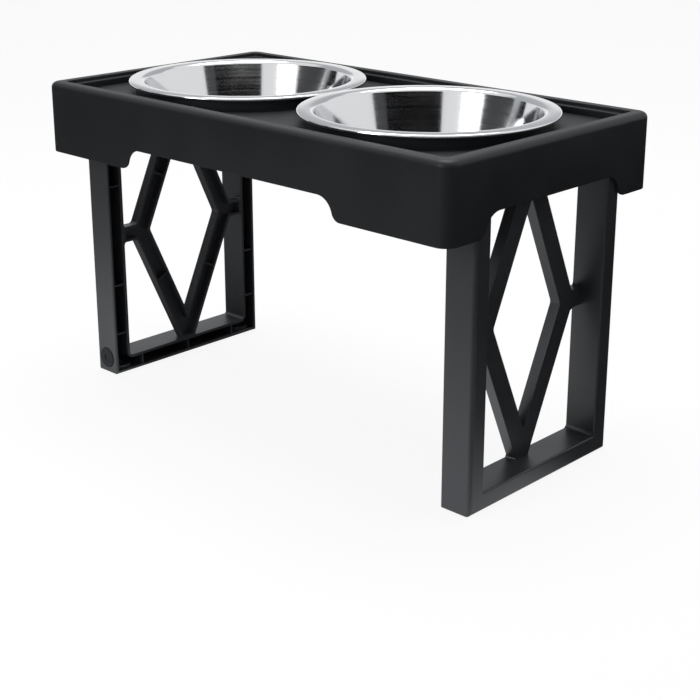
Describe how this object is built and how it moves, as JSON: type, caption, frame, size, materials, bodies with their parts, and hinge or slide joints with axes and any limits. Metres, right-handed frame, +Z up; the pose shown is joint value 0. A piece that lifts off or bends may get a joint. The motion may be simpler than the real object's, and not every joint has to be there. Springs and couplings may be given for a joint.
{
  "type": "raised dog feeder stand",
  "caption": "Raised dog feeder: a hollow black plastic tray with lift-out steel bowls, standing on plug-in lattice legs that pull off.",
  "frame": {"origin": "on the floor under the middle of the tray", "axes": "+X along the tray, +Y towards the back, +Z up"},
  "size_m": [0.504, 0.274, 0.3085],
  "materials": {
    "tray_plastic": "satin black moulded plastic",
    "leg_plastic": "satin black moulded plastic",
    "bowl_steel": "mirror polished stainless steel",
    "pad_rubber": "dull black rubber"
  },
  "bodies": {
    "tray": {"tray": "tray_plastic"},
    "left_bowl": {"left_bowl": "bowl_steel"},
    "right_bowl": {"right_bowl": "bowl_steel"},
    "left_leg": {"left_leg": "leg_plastic", "left_floor_pad_front": "pad_rubber", "left_floor_pad_back": "pad_rubber", "left_side_pad_low": "pad_rubber", "left_side_pad_high": "pad_rubber"},
    "right_leg": {"right_leg": "leg_plastic", "right_floor_pad_front": "pad_rubber", "right_floor_pad_back": "pad_rubber", "right_side_pad_low": "pad_rubber", "right_side_pad_high": "pad_rubber"}
  },
  "joints": [
    {"name": "left_bowl_lift", "type": "slide", "parent": "tray", "child": "left_bowl", "axis": [0, 0, 1], "range_m": [0, 0.08]},
    {"name": "right_bowl_lift", "type": "slide", "parent": "tray", "child": "right_bowl", "axis": [0, 0, 1], "range_m": [0, 0.08]},
    {"name": "left_leg_pull", "type": "slide", "parent": "tray", "child": "left_leg", "axis": [0, 0, -1], "range_m": [0, 0.07]},
    {"name": "right_leg_pull", "type": "slide", "parent": "tray", "child": "right_leg", "axis": [0, 0, -1], "range_m": [0, 0.07]}
  ]
}
